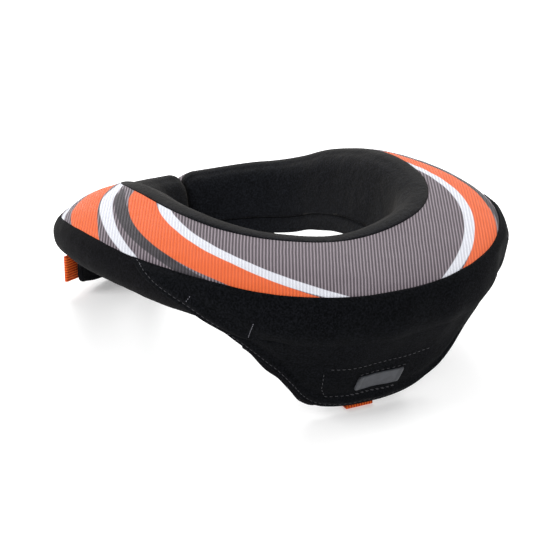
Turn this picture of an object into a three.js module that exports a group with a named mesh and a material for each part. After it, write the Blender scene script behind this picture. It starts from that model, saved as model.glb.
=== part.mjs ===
// Motocross neck brace: a padded collar open at the front, with a cloth apron that hangs
// from its outer seam at the back and ends in a tail. Millimetres, +Z up, the closure at +Y
// and the tail at -Y. The collar is drawn about its own centre, level, and the finished
// group is tipped forward until it stands on its tail and on the closure flap.
import * as THREE from 'three';

// How it stands: the floor lies this far below the collar's centre, and the collar leans
// forward over it.
const floorDrop = 31.2;
const leanForward = 4.4;

// Plan of the outer seam, between the top panel and the outer wall
const seamHalfWidth = 116;
const seamFront = 131;
const seamBack = 146;

// Plan of the rim seam, between the top panel and the neck roll
const rimHalfWidth = 80.6;
const rimFront = 114.8;
const rimBack = 99.8;

// Heights above the collar's centre plane, and from seam to seam
const seamRise = 48.2;
const rimLift = 18;
const crestLift = 1.3;

// The neck roll, from the rim over its crest to the band seam, and the band below it
const rollReach = 25.5;
const rollDrop = 36.8;
const bandHeight = 9.3;
const bandThickness = 5.4;
const bandLean = 4;
const bandPuff = 1;
const bandRound = 1.6;

// The top panel: its padded crown where it is this wide or wider, its fullness towards the
// outer seam and the rim, and the thickness left at its two seams
const panelCrown = 2.6;
const crownWidth = 40;
const crownOuter = 1.2;
const crownInner = 0.7;
const crownPower = 0.8;
const panelEdge = 1.7;

// The outer wall of the collar, and the belly of its underside
const wallHeight = 26;
const wallBulge = 5.4;
const wallUnder = 10;
const undersideBelly = 2.6;

// The closure at the front: how far its middle lies to the near side, the gap between the
// two arms, and their round ends
const closureShift = 3;
const closureGap = 1.4;
const endRound = 9;
const endPinch = 0.35;

// The apron, the backing that shows round its hem, and how far the tail tucks in. They
// start at these turns of the collar, on both sides.
const apronThickness = 2.5;
const apronTurn = 119;
const tailTurn = 147;
const tailTuck = 32;
const tailThickness = 7.5;
const tailEdgeInset = 1.1;
const hemMargin = 5.5;

// The closure flap under the front
const flapThickness = 3;
const flapCorner = 5;

// Woven tabs, folded double. The pull tab is sewn to the flap at this turn and springs off
// it, and the tail tab peeks out behind the tail, a little to the near side.
const webbingWidth = 16;
const webbingThickness = 1.1;
const webbingSlit = 0.4;
const pullTabTurn = -43;
const pullTabSpring = 10;
const pullTabLift = 9.2;
const pullTabLength = 18;
const tailTabLength = 15;
const tailTabPeek = 0.6;
const tailTabShift = 3;

// The blank rubber label on the tail
const labelWidth = 27;
const labelHeight = 8.6;
const labelThickness = 1.1;
const labelRise = 15.7;

// Clearance between touching pieces
const seat = 0.3;

// Facets: along the panel's crown, along the faces that two pieces share (the panel's
// underside and the roll's back), and across and down each cloth piece
const crownSteps = 8;
const panelSteps = 3;
const rollSteps = 4;
const apronSteps = 42;
const tailSteps = 28;
const flapSteps = 18;
const flapDownSteps = 4;
const labelSteps = 8;
const labelDownSteps = 4;
const foldSteps = 6;

const degree = Math.PI / 180;

// Round the collar, by turn in degrees from the closure (0) to the middle of the back (180).
// seam is a share of seamRise, lift of rimLift, reach of rollReach, drop of rollDrop and
// bulge of wallBulge.
const collarRows = [
  { turn: 0, seam: 0.4, lift: 0.52, reach: 0.8, drop: 0.76, bulge: 1 },
  { turn: 28, seam: 0.47, lift: 0.78, reach: 0.86, drop: 0.8, bulge: 1 },
  { turn: 42, seam: 0.555, lift: 0.917, reach: 0.9, drop: 0.86, bulge: 1 },
  { turn: 55, seam: 0.665, lift: 1.065, reach: 0.95, drop: 0.93, bulge: 1 },
  { turn: 68, seam: 0.78, lift: 1.03, reach: 0.98, drop: 0.97, bulge: 1 },
  { turn: 80, seam: 0.89, lift: 0.93, reach: 1, drop: 1, bulge: 1 },
  { turn: 98, seam: 0.965, lift: 0.86, reach: 1, drop: 1, bulge: 1 },
  { turn: 123, seam: 1, lift: 0.73, reach: 1, drop: 0.97, bulge: 0.6 },
  { turn: 140, seam: 0.965, lift: 0.67, reach: 1, drop: 0.93, bulge: 0.4 },
  { turn: 155, seam: 0.87, lift: 0.75, reach: 1, drop: 0.89, bulge: 0.32 },
  { turn: 180, seam: 0.785, lift: 0.73, reach: 1, drop: 0.87, bulge: 0.26 },
];

// The neck roll's visible side. inward is a share of its reach from the rim, down a share
// of the height from the rim (0) to the band seam (1), and up a share of crestLift.
const rollRows = [
  { inward: 0.01, down: 0, up: 0.1 },
  { inward: 0.11, down: 0, up: 0.8 },
  { inward: 0.22, down: 0, up: 1 },
  { inward: 0.34, down: 0, up: 0.75 },
  { inward: 0.46, down: 0.015, up: 0 },
  { inward: 0.58, down: 0.06, up: 0 },
  { inward: 0.68, down: 0.135, up: 0 },
  { inward: 0.75, down: 0.23, up: 0 },
  { inward: 0.81, down: 0.38, up: 0 },
  { inward: 0.88, down: 0.6, up: 0 },
  { inward: 0.95, down: 0.82, up: 0 },
  { inward: 1, down: 1, up: 0 },
];

// The outer wall, from below the seam (down 0) to where it has rounded under (down 1). out
// is a share of wallBulge, and under of wallUnder.
const wallRows = [
  { down: 0.11, out: 0.52, under: 0.01 },
  { down: 0.26, out: 0.9, under: 0.02 },
  { down: 0.43, out: 1, under: 0.04 },
  { down: 0.6, out: 0.95, under: 0.1 },
  { down: 0.75, out: 0.7, under: 0.24 },
  { down: 0.88, out: 0.35, under: 0.5 },
  { down: 1, out: 0, under: 1 },
];

// What the apron lies on: the wall, and below it (down past 1) the tail to its hem (2).
// bulge is a share of wallBulge, and tuck of tailTuck.
const lieRows = [
  { down: 0, bulge: 0.05, tuck: 0 },
  { down: 0.11, bulge: 0.58, tuck: 0 },
  { down: 0.26, bulge: 1, tuck: 0 },
  { down: 0.43, bulge: 1.08, tuck: 0.003 },
  { down: 0.6, bulge: 1, tuck: 0.015 },
  { down: 0.76, bulge: 0.75, tuck: 0.04 },
  { down: 0.89, bulge: 0.35, tuck: 0.08 },
  { down: 1, bulge: 0.1, tuck: 0.14 },
  { down: 1.17, bulge: 0, tuck: 0.29 },
  { down: 1.35, bulge: 0, tuck: 0.45 },
  { down: 1.6, bulge: 0, tuck: 0.62 },
  { down: 1.85, bulge: 0, tuck: 0.82 },
  { down: 2, bulge: 0, tuck: 1 },
];

// The apron's hem, from where it leaves the seam at the side to the middle of the tail, in
// the same measure down, and how far the backing reaches past it, as a share of hemMargin
const hemRows = [
  { turn: apronTurn, down: 0.07, margin: 0.4 },
  { turn: 121.5, down: 0.16, margin: 0.5 },
  { turn: 127, down: 0.38, margin: 0.6 },
  { turn: 132, down: 0.55, margin: 0.7 },
  { turn: 136, down: 0.68, margin: 0.8 },
  { turn: 140, down: 0.86, margin: 0.9 },
  { turn: 145, down: 1.07, margin: 1 },
  { turn: 148, down: 1.18, margin: 1 },
  { turn: 152, down: 1.36, margin: 1 },
  { turn: 155, down: 1.48, margin: 1 },
  { turn: 158, down: 1.64, margin: 1 },
  { turn: 161, down: 1.81, margin: 1 },
  { turn: 165, down: 1.915, margin: 0.8 },
  { turn: 171, down: 1.95, margin: 0.5 },
  { turn: 180, down: 1.95, margin: 0.5 },
];

// Down the apron from seam to hem, with its thickness as a share
const apronRows = [
  { share: 0, thick: 0.5 },
  { share: 0.05, thick: 0.95 },
  { share: 0.13, thick: 1 },
  { share: 0.22, thick: 1 },
  { share: 0.31, thick: 1 },
  { share: 0.4, thick: 1 },
  { share: 0.49, thick: 1 },
  { share: 0.58, thick: 1 },
  { share: 0.67, thick: 1 },
  { share: 0.77, thick: 1 },
  { share: 0.87, thick: 1 },
  { share: 0.96, thick: 1 },
  { share: 1, thick: 0.6 },
];

// The tail's backing, from just under the collar (its top, as a measure down) to its hem,
// with its thickness as a share
const tailTopShare = 1.04;
const tailRows = [
  { share: 0, thick: 1 },
  { share: 0.12, thick: 1 },
  { share: 0.3, thick: 1 },
  { share: 0.5, thick: 1 },
  { share: 0.7, thick: 1 },
  { share: 0.88, thick: 0.97 },
  { share: 0.96, thick: 0.85 },
  { share: 1, thick: 0.62 },
];

// The flap, from its near end to its far end, in millimetres: how far it hangs inside the
// outer seam, and how far its lower edge is off the floor
const flapRows = [
  { turn: -50, inset: 5, rise: 8.2 },
  { turn: -40, inset: 9.5, rise: 3.4 },
  { turn: -30, inset: 15, rise: 2 },
  { turn: -12, inset: 18, rise: 0.5 },
  { turn: 0, inset: 19, rise: 0 },
  { turn: 18, inset: 16, rise: 0 },
  { turn: 30, inset: 11, rise: 0 },
];

// Stations along each arm, as shares of the way from the closure to the middle of the back
const armShares = [
  0, 0.006, 0.015, 0.03, 0.05, 0.085, 0.125, 0.165, 0.205, 0.245, 0.285, 0.325, 0.365,
  0.405, 0.445, 0.485, 0.525, 0.565, 0.605, 0.645, 0.685, 0.72, 0.755, 0.79, 0.825, 0.86,
  0.895, 0.93, 0.965,
];

// The turns at which the two arms end, each measured its own way round
const farEndTurn = Math.asin((closureGap / 2 - closureShift) / rimFront) / degree;
const nearEndTurn = Math.asin((closureGap / 2 + closureShift) / rimFront) / degree;

// Reads one column of a table between its rows, on a smooth curve through them. A table
// keyed by turn lies flat at its ends, because the collar is symmetric there.
function readRows(rows, key, at, column) {
  const last = rows.length - 1;
  let row = 0;
  while (row < last - 1 && rows[row + 1][key] < at) row += 1;
  const slopeAt = (index) => {
    const isEnd = index === 0 || index === last;
    if (isEnd && key === 'turn') return 0;
    const before = rows[Math.max(index - 1, 0)];
    const after = rows[Math.min(index + 1, last)];
    return (after[column] - before[column]) / (after[key] - before[key]);
  };
  const span = rows[row + 1][key] - rows[row][key];
  const t = THREE.MathUtils.clamp((at - rows[row][key]) / span, 0, 1);
  const start = rows[row][column];
  const end = rows[row + 1][column];
  const startSlope = slopeAt(row) * span;
  const endSlope = slopeAt(row + 1) * span;
  const square = t * t;
  const cube = square * t;
  return (2 * cube - 3 * square + 1) * start + (cube - 2 * square + t) * startSlope
    + (3 * square - 2 * cube) * end + (cube - square) * endSlope;
}

// Distance from the collar's centre to a seam, on a rounded oval with its own front and back
const seamPlan = {
  half: seamHalfWidth, front: seamFront, back: seamBack, frontPower: 2, backPower: 2.4,
};
const rimPlan = {
  half: rimHalfWidth, front: rimFront, back: rimBack, frontPower: 1.8, backPower: 2.6,
};

function reachOf(plan, turn) {
  const along = Math.cos(turn * degree);
  const across = Math.abs(Math.sin(turn * degree));
  const end = along > 0 ? plan.front : plan.back;
  const power = along > 0 ? plan.frontPower : plan.backPower;
  const sum = (Math.abs(along) / end) ** power + (across / plan.half) ** power;
  return sum ** (-1 / power);
}

// Turns are measured either way round from the closure.
function foldTurn(turn) {
  const positive = Math.abs(turn) % 360;
  return positive > 180 ? 360 - positive : positive;
}

function point(r, z) {
  return new THREE.Vector2(r, z);
}

// Where two straight lines cross, each through two points
function meet(a, b, c, d) {
  const first = b.clone().sub(a);
  const second = d.clone().sub(c);
  const t = c.clone().sub(a).cross(second) / first.cross(second);
  return a.clone().addScaledVector(first, t);
}

// The same line moved sideways, to the left of its direction
function shiftLine(a, b, distance) {
  const along = b.clone().sub(a).normalize();
  const side = point(-along.y, along.x).multiplyScalar(distance);
  return [a.clone().add(side), b.clone().add(side)];
}

function between(a, b, steps) {
  const points = [];
  for (let step = 0; step <= steps; step += 1) {
    points.push(a.clone().lerp(b, step / steps));
  }
  return points;
}

// The main points of the collar's cross-section at a turn, as distance out and height
function sectionAt(turn) {
  const folded = foldTurn(turn);
  const seam = point(reachOf(seamPlan, folded), readRows(collarRows, 'turn', folded, 'seam') * seamRise);
  const rimHeight = seam.y + readRows(collarRows, 'turn', folded, 'lift') * rimLift;
  const rim = point(reachOf(rimPlan, folded), rimHeight);
  const reach = readRows(collarRows, 'turn', folded, 'reach') * rollReach;
  const drop = readRows(collarRows, 'turn', folded, 'drop') * rollDrop;
  const bandSeam = point(rim.x - reach, rim.y - drop);
  const foot = point(bandSeam.x - bandLean, bandSeam.y - bandHeight);
  const bulge = readRows(collarRows, 'turn', folded, 'bulge') * wallBulge;
  const wall = wallRows.map((row) => {
    return point(seam.x + row.out * bulge - row.under * wallUnder, seam.y - row.down * wallHeight);
  });
  return { folded, seam, rim, reach, drop, bandSeam, foot, bulge, wall };
}

// The underside, from the foot of the outer wall to the foot of the neck band
function undersideOf(section) {
  const outer = section.wall[section.wall.length - 1];
  const inner = point(section.foot.x + bandThickness + seat, section.foot.y);
  const middle = outer.clone().lerp(inner, 0.5);
  middle.y -= undersideBelly;
  return [outer, middle, inner];
}

function undersideHeight(section, r) {
  const [outer, middle, inner] = undersideOf(section);
  const [a, b] = r > middle.x ? [outer, middle] : [middle, inner];
  const t = (a.x - r) / (a.x - b.x);
  return THREE.MathUtils.lerp(a.y, b.y, t);
}

// The panel's underside, and the back of the neck roll, which the other pieces share
function panelUnder(section, depth) {
  return shiftLine(section.seam, section.rim, depth);
}

function rollBack(section, distance) {
  return shiftLine(section.bandSeam, section.rim, -distance);
}

function topPanelOutline(section) {
  const under = panelUnder(section, panelEdge);
  const rimEdge = rollBack(section, seat / 2);
  const rimTop = meet(section.seam, section.rim, ...rimEdge);
  const rimUnder = meet(...under, ...rimEdge);
  const outward = point(rimTop.y - section.seam.y, section.seam.x - rimTop.x).normalize();
  const height = panelCrown * Math.min(section.seam.distanceTo(rimTop) / crownWidth, 1);
  const crown = between(section.seam, rimTop, crownSteps).map((place, step) => {
    const share = step / crownSteps;
    const full = THREE.MathUtils.lerp(crownOuter, crownInner, share);
    const raise = height * full * Math.sin(Math.PI * share) ** crownPower;
    return place.clone().addScaledVector(outward, raise);
  });
  return [...crown, ...between(rimUnder, under[0], panelSteps)];
}

function neckRollOutline(section) {
  const face = rollRows.map((row) => {
    const height = section.rim.y + row.up * crestLift - row.down * section.drop;
    return point(section.rim.x - row.inward * section.reach, height);
  });
  const [low, high] = rollBack(section, -seat / 2);
  const tuck = seat / low.distanceTo(high);
  const back = between(low.clone().lerp(high, 2 * tuck), high.clone().lerp(low, 3 * tuck), rollSteps);
  return [...face, ...back];
}

function neckBandOutline(section) {
  const top = section.bandSeam.y - seat;
  const middle = (top + section.foot.y) / 2;
  return [
    point(section.bandSeam.x, top),
    point((section.bandSeam.x + section.foot.x) / 2 - bandPuff, middle),
    section.foot,
    point(section.foot.x + bandRound, section.foot.y - seat),
    point(section.foot.x + bandThickness, section.foot.y),
    point(section.bandSeam.x + bandThickness, top),
  ];
}

function bodyRollOutline(section) {
  const under = panelUnder(section, panelEdge + seat);
  const back = rollBack(section, seat / 2);
  const [, belly, inner] = undersideOf(section);
  const bandBack = point(section.bandSeam.x + bandThickness + seat, section.bandSeam.y);
  const level = point(section.bandSeam.x, section.bandSeam.y);
  const backLow = meet(...back, bandBack, level);
  const corner = meet(...back, ...under);
  return [
    ...section.wall,
    belly,
    inner,
    bandBack,
    ...between(backLow, corner, rollSteps),
    ...between(corner, under[0], panelSteps).slice(1),
  ];
}

// The arms' ends are rounded: every outline shrinks about the section's middle there.
function pinchAt(turn) {
  const fromEnd = turn < 180 ? turn - farEndTurn : 360 - turn - nearEndTurn;
  const distance = Math.max(fromEnd * degree * rimFront, 0);
  if (distance >= endRound) return 1;
  return 1 - endPinch * (1 - Math.sqrt(1 - (1 - distance / endRound) ** 2));
}

function placeAt(turn, r, z) {
  return new THREE.Vector3(r * Math.sin(turn * degree), r * Math.cos(turn * degree), z);
}

function placeOutline(section, turn, outline) {
  const size = pinchAt(turn);
  const middle = point((section.seam.x + section.foot.x) / 2, (section.rim.y + section.foot.y) / 2);
  return outline.map((corner) => {
    const moved = middle.clone().lerp(corner, size);
    return placeAt(turn, moved.x, moved.y);
  });
}

// A closed solid through a row of outlines that all have as many points
function loftOutlines(outlines) {
  const count = outlines[0].length;
  const corners = outlines.flat();
  const faces = [];
  for (let row = 0; row < outlines.length - 1; row += 1) {
    for (let step = 0; step < count; step += 1) {
      const next = (step + 1) % count;
      const a = row * count + step;
      const b = row * count + next;
      const c = a + count;
      const d = b + count;
      const forward = corners[a].distanceTo(corners[d]);
      const backward = corners[b].distanceTo(corners[c]);
      if (forward < backward) faces.push([a, b, d], [a, d, c]);
      else faces.push([a, b, c], [b, d, c]);
    }
  }
  faces.push(...capFaces(outlines[0], 0, true));
  faces.push(...capFaces(outlines[outlines.length - 1], corners.length - count, false));
  return closedGeometry(corners, faces);
}

// The flat end of a loft, cut into triangles in its own plane
function capFaces(outline, offset, reversed) {
  const origin = outline[0];
  const normal = new THREE.Vector3();
  for (let step = 1; step < outline.length - 1; step += 1) {
    const first = outline[step].clone().sub(origin);
    const second = outline[step + 1].clone().sub(origin);
    normal.add(first.cross(second));
  }
  normal.normalize();
  const across = outline[1].clone().sub(origin).projectOnPlane(normal).normalize();
  const up = normal.clone().cross(across);
  const flat = outline.map((corner) => {
    const from = corner.clone().sub(origin);
    return point(from.dot(across), from.dot(up));
  });
  return THREE.ShapeUtils.triangulateShape(flat, []).map(([a, b, c]) => {
    const face = [a + offset, b + offset, c + offset];
    return reversed ? face.reverse() : face;
  });
}

// Faces point out when the volume that they close is positive.
function closedGeometry(corners, faces) {
  let volume = 0;
  for (const [a, b, c] of faces) {
    volume += corners[a].dot(corners[b].clone().cross(corners[c]));
  }
  const ordered = volume < 0 ? faces.map(([a, b, c]) => [a, c, b]) : faces;
  const geometry = new THREE.BufferGeometry();
  geometry.setFromPoints(corners);
  geometry.setIndex(ordered.flat());
  geometry.computeVertexNormals();
  return geometry;
}

// A closed sheet between an outer and an inner grid of points, rows by columns
function loftSheet(outer, inner) {
  return loftOutlines(outer.map((row, index) => [...row, ...inner[index].slice().reverse()]));
}

// The C of stations from one end of the collar, round the back, to the other end
const farArm = armShares.map((share) => farEndTurn + share * (180 - farEndTurn));
const nearArm = armShares.map((share) => 360 - nearEndTurn - share * (180 - nearEndTurn)).reverse();
const collarTurns = [...farArm, 180, ...nearArm];

function collarPiece(outlineOf) {
  return loftOutlines(collarTurns.map((turn) => {
    const section = sectionAt(turn);
    return placeOutline(section, turn, outlineOf(section));
  }));
}

// The surface that the apron lies on, by turn and by how far down from the seam
const floorSlope = Math.tan(leanForward * degree);
const tailFoot = seamBack - tailTuck;
const foldHeight = 2 * webbingThickness + webbingSlit;
const tailDrop = sectionAt(180).seam.y - floorAt(-tailFoot) - foldHeight - seat;

function floorAt(y) {
  return y * floorSlope - floorDrop;
}

function liePoint(section, down) {
  const bulge = readRows(lieRows, 'down', down, 'bulge') * section.bulge;
  const tuck = readRows(lieRows, 'down', down, 'tuck') * tailTuck;
  const drop = Math.min(down, 1) * wallHeight + Math.max(down - 1, 0) * (tailDrop - wallHeight);
  return point(section.seam.x + bulge - tuck, section.seam.y - drop);
}

// A point that distance outside the surface the apron lies on, square to its slope there
function layerPoint(section, down, distance) {
  const nearby = 0.02;
  const before = liePoint(section, Math.max(down - nearby, 0));
  const after = liePoint(section, Math.min(down + nearby, 2));
  const along = after.sub(before).normalize();
  const place = liePoint(section, down);
  return point(place.x - along.y * distance, place.y + along.x * distance);
}

// Evenly spaced values, both ends included
function evenSteps(from, to, steps) {
  return Array.from({ length: steps + 1 }, (_, step) => from + (to - from) * step / steps);
}

function apronGeometry() {
  const outer = [];
  const inner = [];
  for (const turn of evenSteps(apronTurn, 360 - apronTurn, apronSteps)) {
    const section = sectionAt(turn);
    const hem = readRows(hemRows, 'turn', section.folded, 'down');
    const layer = (share, distance) => {
      const place = layerPoint(section, share * hem, distance);
      return placeAt(turn, place.x, place.y);
    };
    outer.push(apronRows.map((row) => layer(row.share, seat / 2 + row.thick * apronThickness)));
    inner.push(apronRows.map((row) => layer(row.share, seat / 2)));
  }
  return loftSheet(outer, inner);
}

// The tail's backing starts under the collar and reaches past the apron's hem.
function tailGeometry() {
  const outer = [];
  const inner = [];
  for (const turn of evenSteps(tailTurn, 360 - tailTurn, tailSteps)) {
    const section = sectionAt(turn);
    const hem = readRows(hemRows, 'turn', section.folded, 'down');
    const margin = readRows(hemRows, 'turn', section.folded, 'margin') * hemMargin;
    const end = Math.min(hem + margin / (tailDrop - wallHeight), 2);
    const layer = (row, distance) => {
      const place = layerPoint(section, tailTopShare + (end - tailTopShare) * row.share, distance);
      const ceiling = undersideHeight(section, place.x) - seat * (1 + row.share);
      place.y = row.share === 0 ? ceiling : Math.min(place.y, ceiling);
      return placeAt(turn, place.x, place.y);
    };
    outer.push(tailRows.map((row) => layer(row, -seat / 2 - (1 - row.thick) * tailEdgeInset)));
    inner.push(tailRows.map((row) => layer(row, -seat / 2 - row.thick * tailThickness)));
  }
  return loftSheet(outer, inner);
}

// The flap's outer face. Its turns are negative on the near side.
function flapRadius(turn) {
  return sectionAt(turn).seam.x - readRows(flapRows, 'turn', turn, 'inset');
}

// The closure flap hangs from the underside of both arms down to the floor.
function flapGeometry() {
  const outer = [];
  const inner = [];
  const near = flapRows[0].turn;
  const far = flapRows[flapRows.length - 1].turn;
  for (const turn of evenSteps(near, far, flapSteps)) {
    const section = sectionAt(turn);
    const r = flapRadius(turn);
    const top = Math.min(undersideHeight(section, r), undersideHeight(section, r - flapThickness)) - seat;
    const rise = Math.max(readRows(flapRows, 'turn', turn, 'rise'), 0);
    const fromEnd = Math.min(turn - near, far - turn) * degree * r;
    const round = Math.max(1 - fromEnd / flapCorner, 0);
    const lift = flapCorner * (1 - Math.sqrt(1 - round ** 2));
    const bottom = floorAt(r * Math.cos(turn * degree)) + rise + lift;
    const heights = between(point(0, top), point(0, bottom), flapDownSteps).map((place) => place.y);
    outer.push(heights.map((height) => placeAt(turn, r, height)));
    inner.push(heights.map((height) => placeAt(turn, r - flapThickness, height)));
  }
  return loftSheet(outer, inner);
}

// Webbing folded double: a long U with its round fold at y = 0, as long as it is told
function foldedWebbing(length) {
  const outerRadius = webbingThickness + webbingSlit / 2;
  const outline = new THREE.Shape();
  outline.moveTo(-outerRadius, length);
  outline.lineTo(-outerRadius, outerRadius);
  outline.absarc(0, outerRadius, outerRadius, Math.PI, 2 * Math.PI, false);
  outline.lineTo(outerRadius, length);
  outline.lineTo(webbingSlit / 2, length);
  outline.lineTo(webbingSlit / 2, outerRadius);
  outline.absarc(0, outerRadius, webbingSlit / 2, 2 * Math.PI, Math.PI, true);
  outline.lineTo(-webbingSlit / 2, length);
  outline.closePath();
  const geometry = new THREE.ExtrudeGeometry(outline, {
    depth: webbingWidth, bevelEnabled: false, curveSegments: foldSteps,
  });
  geometry.translate(0, 0, -webbingWidth / 2);
  return geometry;
}

// The blank label lies on the apron, above the hem.
function labelGeometry() {
  const outer = [];
  const inner = [];
  const low = 2 - labelRise / (tailDrop - wallHeight);
  const high = low - labelHeight / (tailDrop - wallHeight);
  const halfTurn = labelWidth / 2 / liePoint(sectionAt(180), low).x / degree;
  const under = seat / 2 + apronThickness + seat;
  const column = evenSteps(high, low, labelDownSteps);
  for (const turn of evenSteps(180 - halfTurn, 180 + halfTurn, labelSteps)) {
    const section = sectionAt(turn);
    const layer = (distance) => column.map((down) => {
      const place = layerPoint(section, down, distance);
      return placeAt(turn, place.x, place.y);
    });
    outer.push(layer(under + labelThickness));
    inner.push(layer(under));
  }
  return loftSheet(outer, inner);
}

function fabric(colour, roughness) {
  return new THREE.MeshStandardMaterial({ color: colour, roughness, metalness: 0 });
}

function piece(name, geometry, material) {
  const mesh = new THREE.Mesh(geometry, material);
  mesh.name = name;
  return mesh;
}

const upward = new THREE.Vector3(0, 0, 1);
const collar = new THREE.Group();
collar.add(piece('body_roll', collarPiece(bodyRollOutline), fabric(0x1a1a1d, 0.95)));
collar.add(piece('top_panel', collarPiece(topPanelOutline), fabric(0x716a70, 0.8)));
collar.add(piece('neck_roll', collarPiece(neckRollOutline), fabric(0x222426, 0.9)));
collar.add(piece('neck_band', collarPiece(neckBandOutline), fabric(0x1c1d1f, 0.9)));
collar.add(piece('back_apron', apronGeometry(), fabric(0x1a1a1d, 0.95)));
collar.add(piece('tail_pad', tailGeometry(), fabric(0x17171a, 0.95)));
collar.add(piece('closure_flap', flapGeometry(), fabric(0x17171a, 0.95)));
collar.add(piece('label_patch', labelGeometry(), fabric(0x46484e, 0.6)));

// The pull tab stands on edge. Its loose ends are sewn to the outside of the flap, and its
// fold springs off it past the flap's near end.
const pullTab = piece('pull_tab', foldedWebbing(pullTabLength), fabric(0xff7828, 0.7));
const sewnAt = placeAt(pullTabTurn, flapRadius(pullTabTurn), 0);
const flapAlong = placeAt(pullTabTurn - 1, flapRadius(pullTabTurn - 1), 0).sub(sewnAt).normalize();
const flapOut = new THREE.Vector3(flapAlong.y, -flapAlong.x, 0);
const tabAlong = flapAlong.clone().applyAxisAngle(upward, -pullTabSpring * degree);
const tabOut = flapOut.clone().applyAxisAngle(upward, -pullTabSpring * degree);
const tabInward = tabAlong.clone().negate();
const tabTurned = new THREE.Matrix4().makeBasis(tabOut, tabInward, upward.clone().negate());
pullTab.quaternion.setFromRotationMatrix(tabTurned);
pullTab.position.copy(sewnAt).addScaledVector(flapOut, foldHeight / 2 + seat);
pullTab.position.addScaledVector(tabAlong, pullTabLength);
pullTab.position.z = floorAt(pullTab.position.y) + pullTabLift + webbingWidth / 2;
collar.add(pullTab);

// The tail tab lies flat on the floor, under the middle of the tail, which stands on it.
const tailTab = piece('tail_tab', foldedWebbing(tailTabLength), fabric(0xff7828, 0.7));
const tailTabEnd = -(tailFoot + tailTabPeek);
tailTab.position.set(-tailTabShift, tailTabEnd, floorAt(tailTabEnd) + foldHeight / 2);
tailTab.rotation.set(leanForward * degree, -Math.PI / 2, 0);
collar.add(tailTab);

collar.rotation.x = -leanForward * degree;

const brace = new THREE.Group();
brace.add(collar);
brace.updateMatrixWorld(true);
const box = new THREE.Box3().setFromObject(brace, true);
collar.position.set(-(box.min.x + box.max.x) / 2, -(box.min.y + box.max.y) / 2, -box.min.z);
brace.updateMatrixWorld(true);

export default brace;
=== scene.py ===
"""Motocross neck brace: a padded collar with a printed top, and a cloth apron at the back.

Metres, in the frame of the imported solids: the closure at +Y, the tail at -Y, up is +Z. The
collar's surfaces are worked out about its own centre, level, in radial sections, and are
then leant forward and set on the floor as its solids are. A turn is the angle round the
collar in degrees, from the closure (0) to the middle of the back (180).
"""

import math
from types import SimpleNamespace

import bpy
import numpy as np
from mathutils import Matrix, Vector


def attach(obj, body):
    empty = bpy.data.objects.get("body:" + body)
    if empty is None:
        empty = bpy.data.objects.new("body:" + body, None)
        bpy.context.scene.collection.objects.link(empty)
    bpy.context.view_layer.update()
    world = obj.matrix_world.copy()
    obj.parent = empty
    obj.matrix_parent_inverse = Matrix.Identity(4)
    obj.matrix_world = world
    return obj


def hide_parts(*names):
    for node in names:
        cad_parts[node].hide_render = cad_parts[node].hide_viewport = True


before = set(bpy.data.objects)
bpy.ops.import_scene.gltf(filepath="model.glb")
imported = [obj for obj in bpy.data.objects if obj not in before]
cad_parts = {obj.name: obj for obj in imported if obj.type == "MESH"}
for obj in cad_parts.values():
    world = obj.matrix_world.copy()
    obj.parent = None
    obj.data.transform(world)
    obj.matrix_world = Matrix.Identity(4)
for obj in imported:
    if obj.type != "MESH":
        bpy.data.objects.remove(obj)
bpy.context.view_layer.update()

# How the collar stands in the frame
LEAN = math.radians(4.4)
CENTRE = np.array([0.0, 0.00592, 0.03111])

# Plans of the outer seam and of the rim seam
SEAM_PLAN = SimpleNamespace(half=0.116, front=0.131, back=0.146, front_power=2.0, back_power=2.4)
RIM_PLAN = SimpleNamespace(half=0.0806, front=0.1148, back=0.0998, front_power=1.8, back_power=2.6)

# The cross-section
SEAM_RISE = 0.0482
RIM_LIFT = 0.018
CREST_LIFT = 0.0013
ROLL_REACH = 0.0255
ROLL_DROP = 0.0368
BAND_HEIGHT = 0.0093
BAND_THICKNESS = 0.0054
BAND_LEAN = 0.004
BAND_PUFF = 0.0011
BAND_PUFF_POWER = 0.6
BAND_ROUND = 0.002
PANEL_CROWN = 0.0026
CROWN_WIDTH = 0.040
CROWN_OUTER = 1.2
CROWN_INNER = 0.7
CROWN_POWER = 0.8
PANEL_EDGE = 0.0017
WALL_HEIGHT = 0.026
WALL_BULGE = 0.0054
WALL_UNDER = 0.010
BELLY = 0.0026
SEAT = 0.0003

# How far the panel's underside and the body's top lie below the chord at the seams, and the
# share of the panel over which they reach their full depth
PANEL_SEAM_EDGE = 0.0005
BODY_SEAM_EDGE = 0.0007
EDGE_TUCK = 0.2

# Where the hidden faces run from and to, as shares: the backs of the roll and of the body
# from band seam to rim, and the body's top under the panel from rim to seam
ROLL_BACK = (0.06, 0.94)
BODY_BACK = (0.02, 0.9)
BODY_TOP = (0.97, 0.0)

# The arms' ends at the closure, whose middle lies to the near side
CLOSURE_SHIFT = 0.003
CLOSURE_GAP = 0.0014
END_ROUND = 0.009
END_SIZE = 0.62

# Facets: stations round the collar, steps along each outline, and how much the crown's
# steps crowd towards the seams
COLLAR_STATIONS = 420
PANEL_STATIONS = 560
END_STATIONS = 14
CROWN_STEPS = 34
CROWDING = 0.45
UNDER_STEPS = 7
ROLL_STEPS = 53
BACK_STEPS = 6
BAND_STEPS = 13
WALL_STEPS = 33
BELLY_STEPS = 15
BODY_TOP_STEPS = 12

# Facets of the cloth: stations, rows, and how closely the rows crowd towards the lower edge
APRON_GRID = (300, 70, 1.35)
TAIL_GRID = (180, 40, 1.5)
FLAP_GRID = (150, 26, 1.4)

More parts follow.
